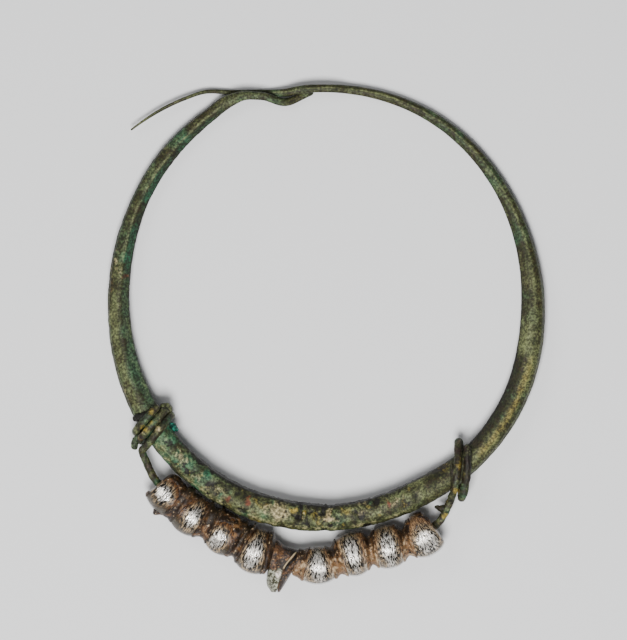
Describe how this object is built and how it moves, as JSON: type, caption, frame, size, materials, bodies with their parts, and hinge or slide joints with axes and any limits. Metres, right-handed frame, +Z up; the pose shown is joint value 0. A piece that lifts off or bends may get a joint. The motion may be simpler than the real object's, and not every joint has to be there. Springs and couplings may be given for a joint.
{
  "type": "hoop earring",
  "caption": "Corroded bronze hoop earring with lapped thin ends and a wire of foil-glass beads along its lower edge, lying flat on its back.",
  "frame": {"origin": "middle of the footprint at the height of the surface it lies on", "axes": "+Z up, away from the surface it lies on; +Y from the beads to the lapped ends at the hoop's top; +X to the right seen from above"},
  "size_m": [0.057, 0.0662, 0.006],
  "materials": {
    "hoop": "corroded bronze with a rough green, grey and brown patina",
    "bead_wire": "corroded bronze wire, dull brown and green",
    "beads": "silver foil under glass, pitted and crusted brown"
  },
  "bodies": {
    "root": {"hoop": "hoop", "bead_wire": "bead_wire", "bead_1": "beads", "bead_2": "beads", "bead_3": "beads", "bead_4": "beads", "bead_5": "beads", "bead_6": "beads", "bead_7": "beads", "bead_8": "beads", "bead_9": "beads"}
  },
  "joints": []
}
